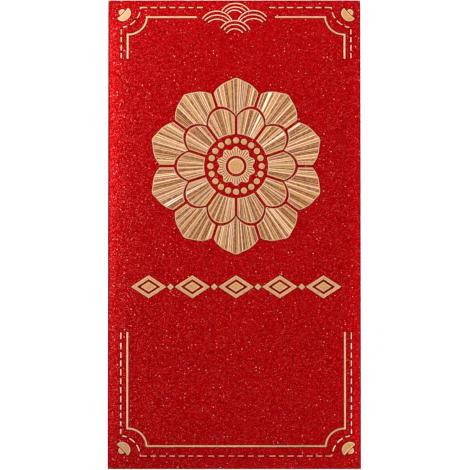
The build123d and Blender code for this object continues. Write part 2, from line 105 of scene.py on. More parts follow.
class Graph:
    """Small helpers that wire nodes in one tree."""

    def __init__(self, tree):
        self.t = tree
        tc = tree.nodes.new("ShaderNodeTexCoord")
        s = tree.nodes.new("ShaderNodeVectorMath")
        s.operation = "SCALE"
        s.inputs["Scale"].default_value = 1000.0
        tree.links.new(tc.outputs["Object"], s.inputs[0])
        self.mm = s.outputs[0]           # position on the piece, in millimetres

    def put(self, socket, value):
        if hasattr(value, "is_linked"):
            self.t.links.new(value, socket)
        else:
            socket.default_value = value

    def math(self, op, a, b=0.0, c=0.0, clamp=False):
        n = self.t.nodes.new("ShaderNodeMath")
        n.operation, n.use_clamp = op, clamp
        for i, v in enumerate((a, b, c)):
            self.put(n.inputs[i], v)
        return n.outputs[0]

    def ramp(self, x, a, b, lo=0.0, hi=1.0):
        n = self.t.nodes.new("ShaderNodeMapRange")
        n.interpolation_type = "SMOOTHSTEP"
        for i, v in enumerate((x, a, b, lo, hi)):
            self.put(n.inputs[i], v)
        return n.outputs[0]

    def linear(self, x, a, b, lo=0.0, hi=1.0):
        n = self.t.nodes.new("ShaderNodeMapRange")
        for i, v in enumerate((x, a, b, lo, hi)):
            self.put(n.inputs[i], v)
        return n.outputs[0]

    def noise(self, scale, detail=2.0, rough=0.5, stretch=None, distortion=0.0):
        n = self.t.nodes.new("ShaderNodeTexNoise")
        n.inputs["Scale"].default_value = scale
        n.inputs["Detail"].default_value = detail
        n.inputs["Roughness"].default_value = rough
        n.inputs["Distortion"].default_value = distortion
        v = self.mm
        if stretch:
            m = self.t.nodes.new("ShaderNodeMapping")
            m.inputs["Scale"].default_value = stretch
            self.t.links.new(v, m.inputs["Vector"])
            v = m.outputs[0]
        self.t.links.new(v, n.inputs["Vector"])
        return n.outputs["Fac"]

    def cells(self, scale, shift=0.0):
        """(distance to the nearest seed in cell units, random colour of the cell)"""
        n = self.t.nodes.new("ShaderNodeTexVoronoi")
        n.inputs["Scale"].default_value = scale
        v = self.mm
        if shift:
            a = self.t.nodes.new("ShaderNodeVectorMath")
            a.operation = "ADD"
            a.inputs[1].default_value = (shift, 0.37 * shift, 0.61 * shift)
            self.t.links.new(v, a.inputs[0])
            v = a.outputs[0]
        self.t.links.new(v, n.inputs["Vector"])
        return n.outputs["Distance"], n.outputs["Color"]

    def dots(self, scale, even, shift=0.0):
        """Like cells, but every seed lies in the surface: even is 0 for a square grid of seeds and 1 for loose ones."""
        t, axes = self.t, []
        for axis in ((1.0, 0.0, 0.6), (0.0, 1.0, 0.8)):
            d = t.nodes.new("ShaderNodeVectorMath")
            d.operation = "DOT_PRODUCT"
            t.links.new(self.mm, d.inputs[0])
            d.inputs[1].default_value = axis
            axes.append(self.math("ADD", d.outputs["Value"], shift))
        c = t.nodes.new("ShaderNodeCombineXYZ")
        for i, a in enumerate(axes):
            t.links.new(a, c.inputs[i])
        n = t.nodes.new("ShaderNodeTexVoronoi")
        n.voronoi_dimensions = "2D"
        n.inputs["Scale"].default_value = scale
        n.inputs["Randomness"].default_value = even
        t.links.new(c.outputs[0], n.inputs["Vector"])
        return n.outputs["Distance"], n.outputs["Color"]

    def split(self, colour):
        n = self.t.nodes.new("ShaderNodeSeparateColor")
        self.t.links.new(colour, n.inputs[0])
        return n.outputs[0], n.outputs[1], n.outputs[2]

    def mix(self, fac, a, b, how="MIX"):
        n = self.t.nodes.new("ShaderNodeMix")
        n.data_type, n.blend_type = "RGBA", how
        self.put(n.inputs[0], fac)
        for i, v in ((6, a), (7, b)):
            self.put(n.inputs[i], v if hasattr(v, "is_linked") else (*v, 1.0))
        return n.outputs[2]

    def tint(self, colour, factor):
        n = self.t.nodes.new("ShaderNodeVectorMath")
        n.operation = "SCALE"
        if hasattr(colour, "is_linked"):
            self.t.links.new(colour, n.inputs[0])
        else:
            n.inputs[0].default_value = colour
        self.put(n.inputs["Scale"], factor)
        return n.outputs[0]

    def attribute(self, name):
        n = self.t.nodes.new("ShaderNodeAttribute")
        n.attribute_name = name
        return n.outputs["Fac"]

    def bump(self, height, strength, distance):
        n = self.t.nodes.new("ShaderNodeBump")
        n.inputs["Strength"].default_value = strength
        n.inputs["Distance"].default_value = distance
        self.t.links.new(height, n.inputs["Height"])
        return n.outputs[0]

    def tilt(self, random_colour, amount):
        """Surface normal leaning a little by a random amount in each cell, as flakes in the coat lie."""
        t = self.t
        g = t.nodes.new("ShaderNodeNewGeometry")
        s = t.nodes.new("ShaderNodeVectorMath")
        s.operation = "SUBTRACT"
        t.links.new(random_colour, s.inputs[0])
        s.inputs[1].default_value = (0.5, 0.5, 0.5)
        k = t.nodes.new("ShaderNodeVectorMath")
        k.operation = "SCALE"
        t.links.new(s.outputs[0], k.inputs[0])
        self.put(k.inputs["Scale"], amount)
        a = t.nodes.new("ShaderNodeVectorMath")
        a.operation = "ADD"
        t.links.new(g.outputs["Normal"], a.inputs[0])
        t.links.new(k.outputs[0], a.inputs[1])
        n = t.nodes.new("ShaderNodeVectorMath")
        n.operation = "NORMALIZE"
        t.links.new(a.outputs[0], n.inputs[0])
        return n.outputs[0]


def glitter_paper(name, base, pale, speck, worn):
    """Red coat full of fine mica: grains about a quarter of a millimetre across, sparser bright specks."""
    m, t, b = new_material(name)
    g = Graph(t)
    _, grain_c = g.cells(6.2)
    r1, r2, r3 = g.split(grain_c)
    d1, dust_c = g.dots(2.4, 0.85, 7.0)
    f1, f2, f3 = g.split(dust_c)
    d2, speck_c = g.cells(1.75, 11.0)
    s1, s2, s3 = g.split(speck_c)
    d3, big_c = g.cells(0.80, 31.0)
    q1, q2, q3 = g.split(big_c)
    cloud = g.noise(0.11, 3.0, 0.55)
    fleck = g.noise(1.1, 3.0, 0.6)
    # grain by grain brightness, with a few much lighter grains, and pale dust among them
    grain = g.math("ADD", g.linear(r1, 0, 1, 0.36, 1.32), g.math("MULTIPLY", g.math("POWER", r2, 13.0), 1.0))
    dust = g.math("MULTIPLY", g.math("POWER", f1, 3.0), g.ramp(d1, 0.12, 0.46, 1.0, 0.0))
    body = g.math("MULTIPLY", grain, g.linear(fleck, 0.25, 0.75, 0.97, 1.03))
    body = g.math("MULTIPLY", body, g.linear(cloud, 0.25, 0.75, 0.96, 1.04))
    red = g.tint(base, body)
    mica = g.attribute("mica")
    # pale dust is heavier where the mica weight is higher; along the left edge that is painted sheen
    red = g.mix(g.math("MULTIPLY", dust, g.math("MULTIPLY_ADD", mica, 0.80, 0.37), clamp=True), red, pale)
    # small specks in some of the cells and large bright ones in few, in more of them where the mica weight is higher,
    # which along the left edge is painted sheen
    more = g.math("MULTIPLY_ADD", g.attribute("bare"), -0.40, g.ramp(mica, 0.03, 0.40))
    small = g.math("MULTIPLY", g.ramp(d2, 0.13, 0.21, 1.0, 0.0), g.ramp(g.math("MULTIPLY_ADD", more, 0.26, s1), 0.71, 0.93))
    large = g.math("MULTIPLY", g.ramp(d3, 0.095, 0.15, 1.0, 0.0), g.ramp(g.math("MULTIPLY_ADD", more, 0.13, q1), 0.67, 0.91))
    col = g.mix(small, red, (speck[0], speck[1] * 0.55, speck[2] * 0.55))
    col = g.mix(large, col, speck)
    specks = g.math("MAXIMUM", small, large)
    # the scored folds get painted shade: the fold weight darkens their coat; and the coat is rubbed in places
    col = g.tint(col, g.linear(g.attribute("fold"), 0, 1, 1.0, 0.42))
    rub = g.math("MULTIPLY", g.attribute("wear"), g.ramp(g.noise(2.2, 4.0, 0.7), 0.50, 0.68))
    col = g.mix(g.math("MULTIPLY", rub, 0.40), col, worn)
    t.links.new(col, b.inputs["Base Color"])
    t.links.new(g.linear(r1, 0, 1, 0.36, 0.58), b.inputs["Roughness"])
    t.links.new(g.math("MULTIPLY", specks, 0.10), b.inputs["Metallic"])
    b.inputs["Specular IOR Level"].default_value = 0.0
    b.inputs["Sheen Weight"].default_value = 0.0
    t.links.new(g.tilt(grain_c, g.math("ADD", g.math("MULTIPLY", specks, 0.20), 0.14)), b.inputs["Normal"])
    return m


def plain_paper(name, base, shade, fibre):
    """Uncoated paper: cloudy formation, short fibres and tooth."""
    m, t, b = new_material(name)
    g = Graph(t)
    cloud = g.noise(0.35, 4.0, 0.6)
    fib_a = g.noise(1.6, 3.0, 0.65, (1.0, 7.0, 3.0), 1.4)
    fib_b = g.noise(1.9, 3.0, 0.65, (8.0, 1.0, 3.0), 1.4)
    col = g.mix(g.ramp(cloud, 0.35, 0.68), base, shade)
    lines = g.math("MAXIMUM", g.ramp(fib_a, 0.60, 0.70), g.ramp(fib_b, 0.61, 0.71))
    col = g.mix(g.math("MULTIPLY", lines, 0.35), col, fibre)
    t.links.new(col, b.inputs["Base Color"])
    t.links.new(g.linear(cloud, 0.3, 0.7, 0.72, 0.86), b.inputs["Roughness"])
    b.inputs["Specular IOR Level"].default_value = 0.25
    tooth = g.math("ADD", g.noise(5.0, 3.0, 0.6), g.math("MULTIPLY", lines, 0.4))
    t.links.new(g.bump(tooth, 0.35, 0.00003), b.inputs["Normal"])
    return m


def cut_edge(name, core, coat):
    """Cut edge of the sheet: layered fibres with coat dragged over them."""
    m, t, b = new_material(name)
    g = Graph(t)
    layers = g.noise(3.0, 4.0, 0.7, (0.6, 0.6, 9.0))
    drag = g.noise(0.9, 4.0, 0.65)
    col = g.mix(g.ramp(layers, 0.40, 0.62), core, (core[0] * 0.78, core[1] * 0.70, core[2] * 0.68))
    col = g.mix(g.math("MULTIPLY", g.ramp(drag, 0.42, 0.66), 0.85), col, coat)
    t.links.new(col, b.inputs["Base Color"])
    b.inputs["Roughness"].default_value = 0.8
    b.inputs["Specular IOR Level"].default_value = 0.2
    t.links.new(g.bump(layers, 0.5, 0.00004), b.inputs["Normal"])
    return m


def foil(name, base, alt, metallic, rough, speckle, grains=4.2):
    """Hot-stamped foil: satin film with fine pinholes, brushed streaks and slow changes of tone."""
    m, t, b = new_material(name)
    g = Graph(t)
    _, c = g.cells(grains, 5.0)
    r1, r2, r3 = g.split(c)
    tone = g.noise(0.28, 3.0, 0.55)
    fine = g.noise(2.4, 3.0, 0.6)
    col = g.mix(g.ramp(tone, 0.34, 0.68), base, alt)
    body = g.math("MULTIPLY", g.linear(r1, 0, 1, 1.0 - speckle, 1.0 + speckle), g.linear(fine, 0.25, 0.75, 1.0 - 0.6 * speckle, 1.0 + 0.6 * speckle))
    col = g.tint(col, body)
    # the tone attribute paints a highlight (paler) where above zero and shade (darker) where below zero
    tone = g.attribute("tone")
    col = g.mix(g.math("MAXIMUM", tone, 0.0), col, (1.0, 0.63, 0.465))
    col = g.tint(col, g.linear(tone, -1.0, 0.0, 0.80, 1.0))
    # pinholes where the film missed the grain of the paper
    hole = g.math("MULTIPLY", g.ramp(r2, 0.955, 0.985), g.ramp(fine, 0.38, 0.52))
    col = g.mix(g.math("MULTIPLY", hole, 0.45), col, (0.22, 0.045, 0.03))
    t.links.new(col, b.inputs["Base Color"])
    b.inputs["Metallic"].default_value = metallic
    t.links.new(g.linear(r3, 0, 1, rough - 0.07, rough + 0.09), b.inputs["Roughness"])
    b.inputs["Specular IOR Level"].default_value = 0.0
    t.links.new(g.tilt(c, 0.10 + 0.5 * speckle), b.inputs["Normal"])
    return m


def pressed_shade(name, base, dark):
    """Paper pressed down by the edge of the stamping die, in painted shade: smoother than the coat, and darkened as the
    shadow of the stamped edge.
    """
    m, t, b = new_material(name)
    g = Graph(t)
    _, c = g.cells(3.4, 17.0)
    r1, _, r3 = g.split(c)
    col = g.mix(g.ramp(g.noise(0.8, 3.0, 0.6), 0.3, 0.7), base, dark)
    col = g.tint(col, g.linear(r1, 0, 1, 0.8, 1.2))
    t.links.new(col, b.inputs["Base Color"])
    t.links.new(g.linear(r3, 0, 1, 0.45, 0.6), b.inputs["Roughness"])
    b.inputs["Specular IOR Level"].default_value = 0.0
    return m


def dry_glue(name):
    m, t, b = new_material(name)
    g = Graph(t)
    streak = g.noise(0.5, 4.0, 0.6, (1.0, 0.12, 1.0), 0.8)
    bubble, c = g.cells(0.9, 3.0)
    col = g.mix(g.ramp(streak, 0.35, 0.7), (0.74, 0.68, 0.52), (0.60, 0.52, 0.36))
    col = g.mix(g.ramp(bubble, 0.12, 0.2, 0.5, 0.0), col, (0.85, 0.82, 0.72))
    t.links.new(col, b.inputs["Base Color"])
    t.links.new(g.linear(streak, 0.3, 0.7, 0.35, 0.6), b.inputs["Roughness"])
    b.inputs["Specular IOR Level"].default_value = 0.4
    t.links.new(g.bump(streak, 0.5, 0.00003), b.inputs["Normal"])
    return m


RED = glitter_paper("red_glitter_coat", (0.262, 0.0005, 0.0013), (1.0, 0.082, 0.092), (1.0, 0.31, 0.32), (0.48, 0.07, 0.07))
PALE = plain_paper("pale_inside_paper", (0.74, 0.66, 0.60), (0.66, 0.57, 0.51), (0.58, 0.47, 0.42))
EDGE = cut_edge("cut_paper_edge", (0.78, 0.62, 0.56), (0.34, 0.012, 0.014))
# painted shade round every piece of foil, standing for the shadow of its pressed edge
PRESS_SHADE = pressed_shade("pressed_red_edge_shade", (0.085, 0.0030, 0.0010), (0.060, 0.0022, 0.0008))
GLUE = dry_glue("dry_glue_film")
GOLD = foil("foil_gold", (0.405, 0.225, 0.077), (0.418, 0.222, 0.094), 0.025, 0.64, 0.22, 3.2)
ROSE = foil("foil_rose", (0.300, 0.110, 0.060), (0.275, 0.104, 0.048), 0.025, 0.68, 0.52, 3.0)
CREAM = foil("foil_cream", (0.756, 0.541, 0.374), (0.732, 0.509, 0.350), 0.025, 0.60, 0.12)
DARKLINE = foil("foil_groove", (0.095, 0.026, 0.007), (0.080, 0.022, 0.006), 0.025, 0.72, 0.20)
RIM = foil("foil_rim", (0.580, 0.290, 0.172), (0.580, 0.268, 0.165), 0.025, 0.62, 0.10)
LINES = foil("foil_lines", (0.610, 0.263, 0.156), (0.610, 0.245, 0.145), 0.025, 0.62, 0.09)
DASHES = foil("foil_dashes", (0.830, 0.298, 0.206), (0.810, 0.274, 0.188), 0.025, 0.62, 0.10)
STITCH = foil("foil_dashes_pale", (0.960, 0.420, 0.335), (0.950, 0.385, 0.310), 0.025, 0.62, 0.10)
DULL = foil("foil_dashes_dull", (0.900, 0.196, 0.160), (0.880, 0.178, 0.146), 0.025, 0.67, 0.10)
CREST = foil("foil_crest", (0.790, 0.312, 0.222), (0.770, 0.296, 0.206), 0.025, 0.62, 0.12)
FOILS = [RIM, GOLD, ROSE, CREAM, DARKLINE, PRESS_SHADE, LINES, DASHES, STITCH, DULL, CREST]
M_RIM, M_GOLD, M_ROSE, M_CREAM, M_DARK, M_PRESS_SHADE, M_LINES, M_DASHES, M_STITCH, M_DULL, M_CREST = range(11)


# ------------------------------------------------------------------ mesh helpers
def link(name, mesh, materials):
    o = bpy.data.objects.new(name, mesh)
    bpy.context.scene.collection.objects.link(o)
    for m in materials:
        mesh.materials.append(m)
    return o


class Sheet:
    """One sheet of paper: an outer skin, an inner skin one thickness away, and a cut rim."""

    def __init__(self):
        self.out, self.inn, self.wear, self.fold, self.mica, self.faces = [], [], [], [], [], []

    def point(self, out, inn, wear=0.0, fold=0.0, mica=0.0):
        self.out.append(out)
        self.inn.append(inn)
        self.wear.append(wear)
        self.fold.append(fold)
        self.mica.append(mica)
        return len(self.out) - 1

    def grid(self, cols, flip=False):
        for a, b in zip(cols, cols[1:]):
            for i in range(len(a) - 1):
                q = (a[i], b[i], b[i + 1], a[i + 1])
                self.faces.append(q[::-1] if flip else q)

    def make(self, name, skip_rim=()):
        n = len(self.out)
        verts = [tuple(c * MM for c in p) for p in self.out + self.inn]
        faces, mats, used = [], [], {}
        for f in self.faces:
            faces.append(f)
            mats.append(0)
            faces.append(tuple(n + v for v in reversed(f)))
            mats.append(1)
            for a, b in zip(f, f[1:] + f[:1]):
                used[(a, b)] = True
        for a, b in used:
            if (b, a) not in used:
                faces.append((b, a, a + n, b + n))
                mats.append(2)
        mesh = bpy.data.meshes.new(name)
        mesh.from_pydata(verts, [], faces)
        mesh.polygons.foreach_set("material_index", mats)
        bare = [bare_at(x, y) if z > 1.2 else 0.0 for x, y, z in self.out]
        # the fold weight also darkens the coat, as painted shade on the folds
        for key, values in (("wear", self.wear), ("fold", self.fold), ("mica", self.mica), ("bare", bare)):
            mesh.attributes.new(key, "FLOAT", "POINT").data.foreach_set("value", values + values)
        bm = bmesh.new()
        bm.from_mesh(mesh)
        for f in bm.faces:
            f.smooth = True
        for e in bm.edges:
            if len({f.material_index for f in e.link_faces}) > 1:
                e.smooth = False
        bm.to_mesh(mesh)
        bm.free()
        mesh.validate()
        return link(name, mesh, [RED, PALE, EDGE])


def spaced(a, b, mid, end, zone):
    """Values from a to b, mid apart, but end apart within zone of each end."""
    total = b - a
    left = [a + end * i for i in range(int(zone / end) + 1)]
    right = [b - end * i for i in range(int(zone / end) + 1)][::-1]
    n = max(1, round((right[0] - left[-1]) / mid))
    step = (right[0] - left[-1]) / n
    return left + [left[-1] + step * i for i in range(1, n)] + right


def corner_cut(d, r):
    """How far a rounded corner of radius r draws in at distance d from the end."""
    return r - math.sqrt(max(0.0, r * r - (r - d) ** 2)) if d < r else 0.0


# ------------------------------------------------------------------ paper body
# One sheet: seam lap, left wing, left fold, front, right fold, right wing, and the bottom flap.
front_x = spaced(-X_PANEL, X_PANEL, 1.15, 0.5, 8.0)
rows_y = spaced(-Y_PANEL, Y_JOIN, 1.25, 0.5, 4.0)
close = (0.12, 0.24, 0.36)               # extra rows at both ends, for the rounded corners
rows_y = sorted(rows_y + [-Y_PANEL + d for d in close] + [Y_JOIN - d for d in close])
rows_v = [(y + Y_PANEL) / (Y_JOIN + Y_PANEL) for y in rows_y]
throat_slope = (THROAT_SIDE - THROAT_MID) / (X_PANEL + LAP)

body = Sheet()
columns = []


def wear_at(y, along):
    """Rubbing is strongest at the corners of the sheet."""
    end = max(0.0, 1 - (Y_HINGE - abs(y)) / 7.0)
    return min(1.0, along * (0.45 + 0.55 * end))


def mica_at(x, y):
    """Painted sheen along the left edge, most of it above the middle, carried as more mica in the coat; least mica
    between the wave and the medallion.
    """
    d = x + X_PANEL
    left = math.exp(-d / 4.5) * (0.05 + 0.57 * math.exp(-(((y - 22) / 34) ** 2))) + 0.35 * math.exp(-d / 14)
    return left - 0.15 * math.exp(-((x / 30) ** 2)) * math.exp(-(((y - 64) / 24) ** 2))


def bare_at(x, y):
    """Where the front has fewer bright specks: down the right side and in the upper right, with more beside that."""
    side = smooth((x - 30) / 9) * math.exp(-(((y + 5) / 32) ** 2))
    head = math.exp(-(((x - 25) / 14) ** 2) - ((y - 64) / 12) ** 2)
    crest = math.exp(-((x / 12) ** 2) - ((y - 62) / 9) ** 2)
    return side + 0.6 * head - 0.5 * crest


def tuck(y):
    """The side folds sink towards the corners, into the rounding of the end folds."""
    d = (-Y_PANEL - y) / 0.93 if y < 0 else (y - (Y_HINGE - 0.45)) / 0.47
    return math.sqrt(max(0.0, 1 - max(0.0, d) ** 2))


def column(out, inn, y_lo, y_hi, wear=0.0, raised=False, fold=0.0):
    idx = []
    for v in rows_v:
        y = y_lo + (y_hi - y_lo) * v
        s = swell(out[0], y) if raised else 0.0
        if fold:
            k = 1 - tuck(y)
            out_z, inn_z = out[1] + k * (SIDE_ZC - out[1]), inn[1] + k * (SIDE_ZC - inn[1])
        else:
            out_z, inn_z = out[1] + s, inn[1] + s
        end = max(0.0, 1 - (Y_HINGE - abs(y)) / 2.2)
        rub = max(wear_at(y, wear), 0.35 * end if raised else 0.0)
        idx.append(body.point((out[0], y, out_z), (inn[0], y, inn_z), rub, fold, mica_at(out[0], y) if raised else 0.0))
    columns.append(idx)
    return idx


def throat(x_from_fold, d_cut):
    return THROAT_SIDE - throat_slope * x_from_fold - corner_cut(d_cut, WING_R)


# left wing, from its cut edge inside the lap out to the fold
lap_x = [LAP - d for d in (0.0, 0.12, 0.35, 0.7, 1.2, 2.0, 3.6, 6.0, 9.0, 12.0)] + [RAMP_TOP + 0.25]
wing_x = [RAMP_TOP, RAMP_TOP - 0.3, RAMP_TOP - 0.6, RAMP_TOP - 0.9, RAMP_FOOT, RAMP_FOOT - 0.4, -11, -15, -19, -23, -27, -31, -35, -39, -42]
for x in lap_x + wing_x:
    rise = 0.35 * smooth((x - RAMP_FOOT) / (RAMP_TOP - RAMP_FOOT))
    z = Z_WING + rise
    column((x, z), (x, z + PAPER), WING_FOOT, throat(x + X_PANEL, LAP - x))


def side_fold(sgn, angles):
    """Half-round fold; t runs from 0 at the front to 1 at the wing."""
    for t in angles:
        a = math.radians(90 - 180 * t)
        c, s = math.cos(a), math.sin(a)
        hi = Y_JOIN + (82.46 - Y_JOIN) * smooth(t / 0.02)
        hi += (THROAT_SIDE - hi) * smooth((t - 0.45) / 0.55)
        lo = -Y_PANEL - (82.46 - Y_PANEL) * smooth(t / 0.02)
        lo += (WING_FOOT - lo) * smooth((t - 0.45) / 0.55)
        ri = SIDE_RO - PAPER
        column(
            (sgn * (X_PANEL + SIDE_RO * c), SIDE_ZC + SIDE_RO * s),
            (sgn * (X_PANEL + ri * c), SIDE_ZC + ri * s),
            lo, hi, wear=0.9 * math.exp(-(((t - 0.28) / 0.22) ** 2)), fold=max(0.01, smooth((t - 0.02) / 0.2) * smooth((1 - t) / 0.2)),
        )


fold_t = [0.03, 0.10, 0.20, 0.30, 0.40, 0.50, 0.60, 0.70, 0.80, 0.90, 1.0]
side_fold(-1, fold_t[::-1])
first_front = len(columns)
for x in front_x:
    near = max(0.0, 1 - (X_PANEL - abs(x)) / 1.1)
    column((x, Z_TOP), (x, Z_TOP - PAPER), -Y_PANEL, Y_JOIN, wear=0.35 * near, raised=True)
last_front = len(columns)
side_fold(1, fold_t)
for x in [-x for x in wing_x[::-1] if x < -9] + [6, 2, -1, -3, -4.0, -4.8, -5.3, -5.65, -5.88, -LAP]:
    column((x, Z_WING), (x, Z_WING + PAPER), WING_FOOT, throat(X_PANEL - x, x + LAP))
body.grid(columns)

# bottom fold and flap, grown from the front's lower edge
profile = []
for i in range(1, 13):
    a = math.radians(90 + 15 * i)
    ri = END_RO - PAPER
    w = X_PANEL + (BOTTOM_ROOT - X_PANEL) * smooth((i - 6) / 6)
    profile.append((w, (-Y_PANEL + END_RO * math.cos(a), END_ZC + END_RO * math.sin(a)), (-Y_PANEL + ri * math.cos(a), END_ZC + ri * math.sin(a)), math.exp(-(((i - 4) / 3.0) ** 2)), smooth((i - 1) / 3) * smooth((12 - i) / 3)))
for d in [1.2, 3, 5, 8, 11, 14, 16.5, 18] + [BOTTOM_LEN - BOTTOM_R * k for k in (0.85, 0.7, 0.55, 0.42, 0.30, 0.2, 0.12, 0.06, 0.02, 0.0)]:
    w = BOTTOM_ROOT + (BOTTOM_TIP - BOTTOM_ROOT) * d / BOTTOM_LEN - corner_cut(BOTTOM_LEN - d, BOTTOM_R)
    profile.append((w, (-Y_PANEL + d, 0.0), (-Y_PANEL + d, PAPER), 0.0, 0.0))
strip = [[columns[j][0]] for j in range(first_front, last_front)]
for w, o, n, wear, fold in profile:
    for k, x in enumerate(front_x):
        xs = x * w / X_PANEL
        corner = max(0.0, 1 - (X_PANEL - abs(x)) / 6.0)
        strip[k].append(body.point((xs, *o), (xs, *n), wear * (0.4 + 0.6 * corner), fold))
body.grid(strip, flip=True)
paper_body = body.make("paper_body")
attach(paper_body, "envelope")
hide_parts("front_panel", "left_side_fold", "right_side_fold", "left_back_wing", "left_seam_rise",
            "left_seam_lap", "right_back_wing", "bottom_fold", "bottom_flap")

# ------------------------------------------------------------------ closure crease and flap
CREASE_R = 0.45
closure = Sheet()
profile = []
for y in (Y_JOIN, 81.5, 81.75, Y_HINGE - CREASE_R):
    profile.append((X_PANEL, (y, Z_TOP), (y, Z_TOP - PAPER), 0.35 * max(0.0, (y - 81.3) / 0.8), 0.0))
for i in range(1, 7):
    a = math.radians(90 - 15 * i)
    c, s = math.cos(a), math.sin(a)
    yc, zc, ri = Y_HINGE - CREASE_R, Z_TOP - CREASE_R, CREASE_R - PAPER
    profile.append((X_PANEL, (yc + CREASE_R * c, zc + CREASE_R * s), (yc + ri * c, zc + ri * s), 0.9, smooth(i / 3)))
for i in range(1, 12):
    z = Z_TOP - CREASE_R - (Z_TOP - 2 * CREASE_R) * i / 12
    w = X_PANEL + (FLAP_ROOT - X_PANEL) * smooth(i / 12)
    profile.append((w, (Y_HINGE, z), (Y_HINGE - PAPER, z), 0.35, 1.0))
for i in range(0, 7):
    a = math.radians(-15 * i)
    c, s = math.cos(a), math.sin(a)
    yc, zc, ri = Y_HINGE - CREASE_R, CREASE_R, CREASE_R - PAPER
    profile.append((FLAP_ROOT, (yc + CREASE_R * c, zc + CREASE_R * s), (yc + ri * c, zc + ri * s), 0.7, 1 - smooth((i - 3) / 3)))
for d in [1.0, 2.5, 4.5, 7, 10, 13, 16, 19, 22, 25, 28] + [FLAP_LEN - FLAP_R * k for k in (1.0, 0.85, 0.7, 0.57, 0.45, 0.34, 0.25, 0.17, 0.11, 0.06, 0.025, 0.006, 0.0)]:
    w = FLAP_ROOT + (FLAP_TIP - FLAP_ROOT) * d / FLAP_LEN - corner_cut(FLAP_LEN - d, FLAP_R)
    profile.append((w, (Y_PANEL - d, 0.0), (Y_PANEL - d, PAPER), 0.25 * max(0.0, 1 - d / 2.5), 0.0))
strip = [[] for _ in front_x]
for w, o, n, wear, fold in profile:
    for k, x in enumerate(front_x):
        xs = x * w / X_PANEL
        s = swell(x, o[0]) if o[1] > Z_TOP - 1e-6 else 0.0
        corner = max(0.0, 1 - (X_PANEL - abs(x)) / 6.0)
        strip[k].append(closure.point((xs, o[0], o[1] + s), (xs, n[0], n[1] + s), wear * (0.4 + 0.6 * corner), fold))
closure.grid(strip)
closure_flap = closure.make("closure_flap")
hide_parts("top_fold", "flap_fold", "top_flap")
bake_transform(closure_flap)

# ------------------------------------------------------------------ stamped foil
class Foil:
    """Foil pressed on the front: points are (x, y, height above the paper)."""

    def __init__(self):
        self.bm = bmesh.new()

    def vert(self, x, y, h):
        x, y = DRAW_X + x * DRAW_SX, DRAW_Y + y * DRAW_SY
        return self.bm.verts.new((x * MM, y * MM, (Z_TOP + swell(x, y) + h) * MM))

    def face(self, verts, mat):
        f = self.bm.faces.new(verts)
        f.material_index = mat
        f.smooth = True
        return f

    def band(self, a, b, mat):
        """Quads between two closed rings of equal length; b lies inside a."""
        n = len(a)
        for i in range(n):
            self.face((a[i], a[(i + 1) % n], b[(i + 1) % n], b[i]), mat)

    def skirt(self, outline):
        """Strip of pressed paper in painted shade round an outline that runs anticlockwise about the foil."""
        outer = [self.vert(p[0], p[1], 0.007) for p in steps_in(outline, [outline], [PRESS_SHADE_W], -1.0)[0]]
        inner = [self.vert(p[0], p[1], 0.010) for p in outline]
        self.band(outer, inner, M_PRESS_SHADE)

    def make(self, name, nodes, tone=None):
        mesh = bpy.data.meshes.new(name)
        for e in self.bm.edges:
            if len(e.link_faces) == 2 and M_PRESS_SHADE in {f.material_index for f in e.link_faces}:
                e.smooth = False
        self.bm.to_mesh(mesh)
        self.bm.free()
        if tone:
            layer = mesh.attributes.new("tone", "FLOAT", "POINT")
            layer.data.foreach_set("value", [tone(v.co.x / MM, v.co.y / MM) for v in mesh.vertices])
        o = link(name, mesh, FOILS)
        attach(o, "envelope")
        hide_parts(*nodes)
        return o


def inset(loop, d):
    """Closed loop moved d to its left, with mitred corners."""
    out, n = [], len(loop)
    for i in range(n):
        (ax, ay), (bx, by), (cx, cy) = loop[i - 1], loop[i], loop[(i + 1) % n]
        ux, uy, vx, vy = bx - ax, by - ay, cx - bx, cy - by
        lu, lv = math.hypot(ux, uy) or 1e-9, math.hypot(vx, vy) or 1e-9
        nx, ny = -uy / lu - vy / lv, ux / lu + vx / lv
        k = (nx * nx + ny * ny) / 2
        k = d / max(k, 0.45)
        out.append((bx + nx * k, by + ny * k))
    return out


def gap(p, loops):
    """Distance from a point to the nearest outline."""
    best = 1e9
    for loop in loops:
        for (ax, ay), (bx, by) in zip(loop, loop[1:] + loop[:1]):
            ux, uy = bx - ax, by - ay
            t = min(1.0, max(0.0, ((p[0] - ax) * ux + (p[1] - ay) * uy) / (ux * ux + uy * uy or 1e-12)))
            best = min(best, math.hypot(p[0] - ax - ux * t, p[1] - ay - uy * t))
    return best


def steps_in(loop, group, depths, way=1.0):
    """Rings beside a loop at the given depths, inwards or with way -1 outwards, shallower where there is too little room."""
    unit = [(q[0] - p[0], q[1] - p[1]) for p, q in zip(loop, inset(loop, way))]
    room = []
    for (x, y), (ux, uy) in zip(loop, unit):
        def clear(d):
            return gap((x + ux * d, y + uy * d), group)
        share = 0.97 * clear(0.004) / 0.004
        lo, hi = 0.0, depths[-1]
        if clear(hi) < share * hi:
            for _ in range(12):
                mid = (lo + hi) / 2
                lo, hi = (mid, hi) if clear(mid) >= share * mid else (lo, mid)
            hi = max(0.86 * lo, 0.005)
        room.append(hi)
    out = []
    for k, depth in enumerate(depths):
        part = (k + 1) / len(depths)
        out.append([(x + ux * min(depth, r * part), y + uy * min(depth, r * part)) for (x, y), (ux, uy), r in zip(loop, unit, room)])
    return out


def area(loop):
    return sum(a[0] * b[1] - b[0] * a[1] for a, b in zip(loop, loop[1:] + loop[:1])) / 2


def inside(p, loop):
    hit = False
    for (ax, ay), (bx, by) in zip(loop, loop[1:] + loop[:1]):
        if (ay > p[1]) != (by > p[1]) and p[0] < ax + (p[1] - ay) * (bx - ax) / (by - ay):
            hit = not hit
    return hit


